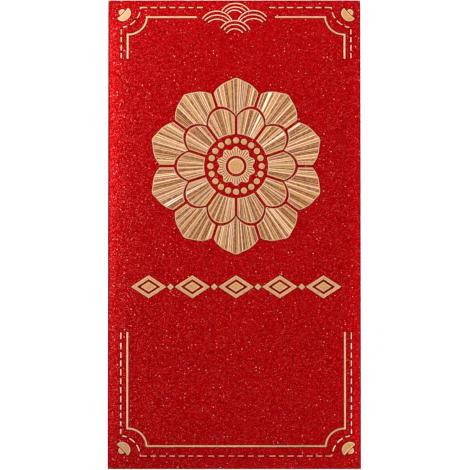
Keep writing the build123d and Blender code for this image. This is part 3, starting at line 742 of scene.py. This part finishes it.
def top_loops(node):
    """Outlines of a node's upper face in millimetres, foil on the left: outer ones run anticlockwise, holes clockwise."""
    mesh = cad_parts[node].data
    top = max(v.co.z for v in mesh.vertices)
    key = {}
    ids = [key.setdefault((round(v.co.x * 1e6), round(v.co.y * 1e6), round(v.co.z * 1e6)), len(key)) for v in mesh.vertices]
    place = {i: (k[0] / 1000.0, k[1] / 1000.0) for k, i in key.items()}
    edges = {}
    for p in mesh.polygons:
        if p.normal.z > 0.9 and all(mesh.vertices[v].co.z > top - 2e-6 for v in p.vertices):
            vs = [ids[v] for v in p.vertices]
            for a, b in zip(vs, vs[1:] + vs[:1]):
                if a != b:
                    edges[(a, b)] = True
    follow = {}
    for a, b in edges:
        if (b, a) not in edges:
            follow.setdefault(a, []).append(b)
    loops = []
    while follow:
        start = min(follow)
        loop, here = [], start
        while True:
            loop.append(here)
            nxt = follow[here].pop()
            if not follow[here]:
                del follow[here]
            here = nxt
            if here == start:
                break
        pts = []
        for i in loop:
            if not pts or math.dist(pts[-1], place[i]) > 0.02:
                pts.append(place[i])
        if math.dist(pts[0], pts[-1]) < 0.02:
            pts.pop()
        even = []
        for a, b in zip(pts, pts[1:] + pts[:1]):
            n = max(1, math.ceil(math.dist(a, b) / 0.9))
            even += [(a[0] + (b[0] - a[0]) * i / n, a[1] + (b[1] - a[1]) * i / n) for i in range(n)]
        loops.append(even)
    outers = [lp for lp in loops if area(lp) > 0]
    groups = [[lp] for lp in outers]
    for hole in (lp for lp in loops if area(lp) <= 0):
        home = min((g for g in groups if inside(hole[0], g[0])), key=lambda g: area(g[0]))
        home.append(hole)
    return groups


def within(x, y, loops):
    """True inside an outer loop and outside its holes."""
    odd = False
    for loop in loops:
        for (ax, ay), (bx, by) in zip(loop, loop[1:] + loop[:1]):
            if (ay > y) != (by > y) and x < ax + (bx - ax) * (y - ay) / (by - ay):
                odd = not odd
    return odd


def fill(f, loops, rings, height, mat):
    """Triangles between an outer ring and the rings of its holes, with points between them so that the foil follows the paper."""
    verts = [v for r in rings for v in r]
    flat = [p for lp in loops for p in lp]
    edges, first = [], 0
    for lp in loops:
        edges += [(first + i, first + (i + 1) % len(lp)) for i in range(len(lp))]
        first += len(lp)
    step = 0.7
    x_lo, x_hi = min(p[0] for p in flat), max(p[0] for p in flat)
    y_lo, y_hi = min(p[1] for p in flat), max(p[1] for p in flat)
    for j in range(1, int((y_hi - y_lo) / step) + 1):
        for i in range(1, int((x_hi - x_lo) / step) + 1):
            x, y = x_lo + (i - 0.25 * (j % 2)) * step, y_lo + j * step - 0.1
            if within(x, y, loops) and min(math.dist((x, y), p) for p in flat[:first]) > 0.45:
                flat.append((x, y))
                verts.append(f.vert(x, y, height))
    out, _, tris, origin, _, _ = delaunay_2d_cdt([Vector(p) for p in flat], edges, [], 1, 1e-5)
    own = [verts[o[0]] if o else f.vert(p.x, p.y, height) for p, o in zip(out, origin)]
    for tri in tris:
        cx, cy = sum(out[i].x for i in tri) / 3, sum(out[i].y for i in tri) / 3
        if within(cx, cy, loops):
            vs = [own[i] for i in tri]
            a, b, c = (v.co for v in vs)
            if (b - a).cross(c - a).z < 0:
                vs.reverse()
            f.face(vs, mat)


def stamped(name, node, rim=0.30, core=M_GOLD, edge=M_RIM, height=FOIL_H, trim=0.0, move=(0.0, 0.0), shape=None, tone=None):
    """Foil cut to a node's outline, less the trim that the die's edge leaves, with a rounded edge, and a lighter rim round its core."""
    f = Foil()
    for group in top_loops(node):
        film = edge(group[0]) if callable(edge) else edge
        cut = trim(group[0]) if callable(trim) else trim
        group = [shape(loop) for loop in group] if shape else group
        group = [[(x + move[0], y + move[1]) for x, y in (inset(loop, cut) if cut else loop)] for loop in group]
        steps = [(0.0, 0.008), (0.05, 0.7 * height), (0.14, height)] + ([(rim, height)] if rim else [])
        last, ends = [], []
        for loop in group:
            f.skirt(loop)
            flat = [loop] + steps_in(loop, group, [d for d, _ in steps[1:]])
            rings = [[f.vert(x, y, h) for x, y in ring] for ring, (_, h) in zip(flat, steps)]
            for a, b in zip(rings, rings[1:]):
                f.band(a, b, film)
            last.append(rings[-1])
            ends.append(flat[-1])
        fill(f, ends, last, height, core if rim else film)
    return f.make(name, [node], tone)


def dash_tone(loop):
    """The dashes grow paler down the sides, and those along the foot are dull."""
    y = sum(p[1] for p in loop) / len(loop)
    return M_DASHES if y > 0 else M_STITCH if y > -76.6 else M_DULL


def dash_shape(loop):
    """The dashes round the corners print a little shorter than their places."""
    cx, cy = (sum(p[k] for p in loop) / len(loop) for k in (0, 1))
    ox, oy = ART_X + math.copysign(41.08, cx), 80.23 if cy > 0 else -78.19
    r = math.dist((cx, cy), (ox, oy))
    if not 6.6 < r < 7.6:
        return loop
    ux, uy = (oy - cy) / r, (cx - ox) / r
    out = []
    for x, y in loop:
        along = 0.14 * ((x - cx) * ux + (y - cy) * uy)
        out.append((x - ux * along, y - uy * along))
    return out


def dash_trim(loop):
    """The dashes down the lower sides are the finest."""
    x, y = (sum(p[k] for p in loop) / len(loop) for k in (0, 1))
    return (0.010 if x < 0 else 0.024) if abs(x) > 39.0 and y < -30.0 else 0.0


def dash_highlight(x, y):
    """Painted highlight on the dashes: paler down the upper sides and the lower left."""
    if abs(x - ART_X) < 39.0:
        return 0.0
    if y > 0:
        return 0.10 if x < 0 else 0.34
    return 0.16 if x < 0 else 0.0


def line_highlight_and_shade(x, y):
    """Painted highlight and shade on the solid lines: paler down the sides, darker along the right of the top and foot.
    """
    side = smooth((abs(x - ART_X) - 36.0) / 2.0)
    full = (0.20 if x < 0 else 0.24) if y > 0 else (0.14 if x < 0 else 0.05)
    thin = 0.035 - (0.50 if y > 0 else 0.72) * smooth((x - 4.0) / 14.0)
    return side * full + (1 - side) * thin


def domed(f, loop, height, rim):
    """A small raised dome on a round or lozenge outline."""
    cx = sum(p[0] for p in loop) / len(loop)
    cy = sum(p[1] for p in loop) / len(loop)
    f.skirt(loop)
    rings = []
    for k in (1.0, 0.95, 0.84, 0.68, 0.48, 0.26):
        h = 0.008 + height * math.sqrt(max(0.0, 1 - k * k)) if k < 1 else 0.008
        rings.append([f.vert(cx + (x - cx) * k, cy + (y - cy) * k, h) for x, y in loop])
    for i, (a, b) in enumerate(zip(rings, rings[1:])):
        f.band(a, b, M_RIM if i < rim else M_GOLD)
    tip = f.vert(cx, cy, 0.008 + height)
    r = rings[-1]
    for i in range(len(r)):
        f.face((r[i], r[(i + 1) % len(r)], tip), M_GOLD)


for side in ("left", "right"):
    stamped(f"foil_frame_top_{side}", f"frame_line_top_{side}", rim=0, edge=M_LINES, trim=0.034, move=(0.0, -0.085 if side == "left" else -0.05), tone=line_highlight_and_shade)
    stamped(f"foil_dashes_top_{side}", f"dashes_top_{side}", rim=0, edge=dash_tone, shape=dash_shape, tone=dash_highlight)
    for end in ("top", "bottom"):
        # the ingot at the top left gets a painted highlight through its tone
        stamped(f"foil_ingot_{end}_{side}", f"ingot_{end}_{side}", rim=0.36, tone=lambda x, y: 0.07 if x < 0 < y else 0.0)
stamped("foil_frame_bottom", "frame_line_bottom", rim=0, edge=M_LINES, trim=0.028, tone=line_highlight_and_shade)
stamped("foil_dashes_bottom", "dashes_bottom", rim=0, edge=dash_tone, trim=dash_trim, shape=dash_shape, tone=dash_highlight)
stamped("foil_wave_crest", "wave_crest", rim=0, edge=M_CREST)
stamped("foil_lozenge_row", "lozenge_row", rim=0.30)

# ------------------------------------------------------------------ blossom medallion with ray relief
pitch = 2 * math.pi / PETALS


def outer_edge(a):
    u = (a / pitch + 0.5) % 1.0 * 2 - 1
    return OUTER_R0 + OUTER_LOBE * max(0.0, math.cos(u * math.pi / 2)) ** 0.75 + OUTER_POINT * math.exp(-((u / 0.17) ** 2))


def inner_edge(a):
    u = (a / pitch) % 1.0 * 2 - 1
    return INNER_R0 + INNER_LOBE * max(0.0, math.cos(u * math.pi / 2)) ** 0.8


rng = random.Random(41)
rays = []                                # (angle, band after it, kind of line at it)
a, gold = 0.0, True
while a < 360.0 - 2.0:
    band = (M_CREAM if rng.random() < 0.07 else M_GOLD) if gold else M_ROSE
    rays.append((math.radians(a), band, rng.choice(("dark", "dark", "both", "both", "light"))))
    a += rng.uniform(2.1, 3.6) if gold else rng.uniform(2.0, 3.1)
    gold = not gold
hairs = []                               # wide bands are split by a fine line
for i, (phi, band, kind) in enumerate(rays):
    hairs.append((phi, band, kind))
    wide = (rays[(i + 1) % len(rays)][0] - phi) % (2 * math.pi)
    if wide > math.radians(2.7) and rng.random() < 0.6:
        hairs.append((phi + wide * rng.uniform(0.42, 0.58), band, rng.choice(("dark", "both", "light"))))
rays = hairs
LINE = 0.17                              # half width of a line between two bands


def petal(f, turn, r_in, r_out, r_ref, margin):
    half = lambda r: pitch / 2 - math.asin(GAP / 2 / r)
    here = []
    for phi, band, kind in rays:
        d = (phi - turn + math.pi) % (2 * math.pi) - math.pi
        here.append((d, band, kind))
    here.sort()
    limit = half(r_ref) - margin
    before = [h for h in here if h[0] <= -limit]
    here = [h for h in here if -limit < h[0] < limit]
    # columns: (share of the half angle, offset in mm, height, material to the next column)
    first = before[-1][1] if before else M_GOLD
    top = {M_GOLD: FOIL_H, M_CREAM: FOIL_H + 0.010, M_ROSE: FOIL_H - 0.012}
    cols = [(-1, 0.0, 0.008, M_RIM), (-1, 0.06, 0.7 * FOIL_H, M_RIM), (-1, 0.15, FOIL_H, M_RIM), (-1, 0.30, top[first], first)]
    band = first
    for d, nxt, kind in here:
        u = d / half(r_ref)
        low, high = FOIL_H - 0.040, FOIL_H + 0.030
        left, right = {"dark": (M_DARK, M_DARK), "light": (M_CREAM, M_CREAM), "both": (M_DARK, M_CREAM)}[kind]
        mid = {"dark": low, "light": high, "both": (low + high) / 2 + 0.01}[kind]
        w = LINE * min(1.0, r_ref / 22) * (1.0 if kind == "both" else 0.72)
        cols += [(u, -w, top[band], left), (u, 0.0, mid, right), (u, w, top[nxt], nxt)]
        band = nxt
    cols += [(1, -0.30, top[band], M_RIM), (1, -0.15, FOIL_H, M_RIM), (1, -0.06, 0.7 * FOIL_H, M_RIM), (1, 0.0, 0.008, M_RIM)]
    n_mid = 9
    rows = [(0, 0.0), (0, 0.06), (0, 0.15), (0, 0.30)] + [(i / (n_mid + 1), 0.0) for i in range(1, n_mid + 1)] + [(1, -0.30), (1, -0.15), (1, -0.06), (1, 0.0)]
    heights = [0.008, 0.7 * FOIL_H, FOIL_H, None] + [None] * n_mid + [None, FOIL_H, 0.7 * FOIL_H, 0.008]
    grid = []
    for u, off, h, _ in cols:
        line = []
        for (v, dr), cap in zip(rows, heights):
            r = r_ref
            for _ in range(6):
                ang = u * half(r) + off / r
                lo, hi = r_in(ang), r_out(ang)
                r = (lo + 0.30) + (hi - lo - 0.60) * v if 0 < v < 1 else (lo if v == 0 else hi) + dr
            z = h if cap is None else min(h, cap)
            line.append((ART_X + r * math.cos(turn + ang), MEDAL_Y + r * math.sin(turn + ang), z))
        grid.append(line)
    verts = [[f.vert(*p) for p in line] for line in grid]
    n_rows = len(rows)
    for j in range(len(cols) - 1):
        for i in range(n_rows - 1):
            edge = i < 3 or i >= n_rows - 4
            f.face((verts[j][i], verts[j][i + 1], verts[j + 1][i + 1], verts[j + 1][i]), M_RIM if edge else cols[j][3])
    loop = [p[:2] for p in ([ln[0] for ln in grid] + grid[-1][1:] + [ln[-1] for ln in grid[-2::-1]] + grid[0][-2:0:-1])]
    if area(loop) < 0:
        loop.reverse()
    f.skirt(loop)


f = Foil()
for k in range(PETALS):
    petal(f, math.pi / 2 + k * pitch, lambda a: inner_edge(a) + GAP, outer_edge, 24.5, math.radians(1.6))
f.make("foil_medallion_outer", ["medallion_outer_petals"])
f = Foil()
for k in range(PETALS):
    petal(f, math.pi / 2 + (k + 0.5) * pitch, lambda a: INNER_FOOT, lambda a: inner_edge(a + pitch / 2), 15.6, math.radians(2.5))
f.make("foil_medallion_inner", ["medallion_inner_petals"])

f = Foil()
for group in top_loops("medallion_beads"):
    domed(f, group[0], 0.13, 2)
f.make("foil_medallion_beads", ["medallion_beads"])

# core: a lobed ring with fine rays, and a domed button in the middle
f = Foil()
per, n_ray = 6, 40
n = per * n_ray
step = 2 * math.pi / n
kinds = (M_GOLD, M_GOLD, M_DARK, M_ROSE, M_ROSE, M_CREAM)
lift = (0.0, 0.008, 0.0, -0.030, -0.010, 0.012)
rows = [(0, 0.0, 0.008), (0, 0.06, 0.7 * FOIL_H), (0, 0.15, FOIL_H), (0, 0.30, None), (0.25, 0, None), (0.5, 0, None), (0.75, 0, None), (1, -0.30, None), (1, -0.15, FOIL_H), (1, -0.06, 0.7 * FOIL_H), (1, 0.0, 0.008)]
rings, flat = [], []
for v, dr, cap in rows:
    ring, line = [], []
    for i in range(n):
        a = math.pi / 2 + i * step
        lo, hi = SLOT_OUT, CORE_R + CORE_LOBE * math.cos(PETALS * (a - math.pi / 2))
        r = (lo + 0.30) + (hi - lo - 0.60) * v if 0 < v < 1 else (lo if v == 0 else hi) + dr
        h = cap if cap is not None else FOIL_H + lift[i % per]
        line.append((ART_X + r * math.cos(a), MEDAL_Y + r * math.sin(a)))
        ring.append(f.vert(*line[-1], h))
    rings.append(ring)
    flat.append(line)
for k in range(len(rows) - 1):
    for i in range(n):
        j = (i + 1) % n
        edge = k < 3 or k >= len(rows) - 4
        f.face((rings[k][i], rings[k + 1][i], rings[k + 1][j], rings[k][j]), M_RIM if edge else kinds[i % per])
f.skirt(flat[-1])
f.skirt(flat[0][::-1])
domed(f, [(ART_X + SLOT_IN * math.cos(2 * math.pi * i / 64), MEDAL_Y + SLOT_IN * math.sin(2 * math.pi * i / 64)) for i in range(64)], 0.16, 2)
f.make("foil_medallion_core", ["medallion_core"])

# ------------------------------------------------------------------ glue films
for node in ("seam_glue", "bottom_flap_glue"):
    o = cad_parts[node]
    o.data.materials.clear()
    o.data.materials.append(GLUE)

# ------------------------------------------------------------------ floor, light, camera
mesh = bpy.data.meshes.new("floor")
bm = bmesh.new()
bmesh.ops.create_grid(bm, x_segments=40, y_segments=40, size=2.5)
bm.to_mesh(mesh)
bm.free()
m, t, b = new_material("floor_paper")
g = Graph(t)
t.links.new(g.mix(g.ramp(g.noise(0.02, 3.0), 0.3, 0.7), (0.90, 0.90, 0.90), (0.92, 0.92, 0.92)), b.inputs["Base Color"])
b.inputs["Emission Color"].default_value = (1, 1, 1, 1)
b.inputs["Emission Strength"].default_value = 0.80
b.inputs["Roughness"].default_value = 0.9
b.inputs["Specular IOR Level"].default_value = 0.1
floor = link("floor", mesh, [m])
floor.location.z = -0.0001

world = bpy.data.worlds.new("studio")
bpy.context.scene.world = world
world.use_nodes = True
t = world.node_tree
t.nodes.clear()
out = t.nodes.new("ShaderNodeOutputWorld")
bg = t.nodes.new("ShaderNodeBackground")
tc = t.nodes.new("ShaderNodeTexCoord")
sep = t.nodes.new("ShaderNodeSeparateXYZ")
mr = t.nodes.new("ShaderNodeMapRange")
mr.interpolation_type = "SMOOTHSTEP"
mr.inputs["From Min"].default_value = 0.10
mr.inputs["From Max"].default_value = 0.62
mr.inputs["To Min"].default_value = 1.05
mr.inputs["To Max"].default_value = 0.11
t.links.new(tc.outputs["Generated"], sep.inputs[0])
t.links.new(sep.outputs["Z"], mr.inputs["Value"])
t.links.new(mr.outputs[0], bg.inputs["Strength"])
bg.inputs["Color"].default_value = (1, 1, 1, 1)
t.links.new(bg.outputs[0], out.inputs["Surface"])


def softbox(name, loc, size, power, aim=(0.0, 0.0, 0.0), colour=(1, 1, 1)):
    d = bpy.data.lights.new(name, "AREA")
    d.shape, d.size, d.size_y = "RECTANGLE", size[0], size[1]
    d.energy, d.color = power, colour
    o = bpy.data.objects.new(name, d)
    bpy.context.scene.collection.objects.link(o)
    o.location = loc
    o.visible_camera = False
    o.rotation_euler = (Vector(aim) - Vector(loc)).to_track_quat("-Z", "Y").to_euler()
    return o


softbox("key_left", (-0.36, 0.18, 0.070), (0.30, 0.08), 4.40, aim=(0.0, 0.054, 0.0))
softbox("fill_right", (0.42, -0.28, 0.080), (0.30, 0.08), 5.95, aim=(0.0, -0.084, 0.0))
softbox("back_top", (0.0, 0.36, 0.22), (0.30, 0.08), 2.04)
softbox("front_low", (0.0, -0.42, 0.10), (0.30, 0.08), 0.26)

cam = bpy.data.cameras.new("camera")
camera = bpy.data.objects.new("camera", cam)
bpy.context.scene.collection.objects.link(camera)
bpy.context.scene.camera = camera
aim = Vector((0.000243, -0.000328, 0.0018))
tilt = math.radians(1.84)
camera.location = aim + Vector((0.0, -math.sin(tilt), math.cos(tilt)))
camera.rotation_euler = (tilt, 0.0, 0.0)
cam.sensor_width = 36.0
cam.lens = 36.0 / 0.16508
cam.clip_start, cam.clip_end = 0.01, 20.0
cam.dof.use_dof = False

bpy.context.scene.view_settings.view_transform = "Standard"
bpy.context.scene.view_settings.look = "None"
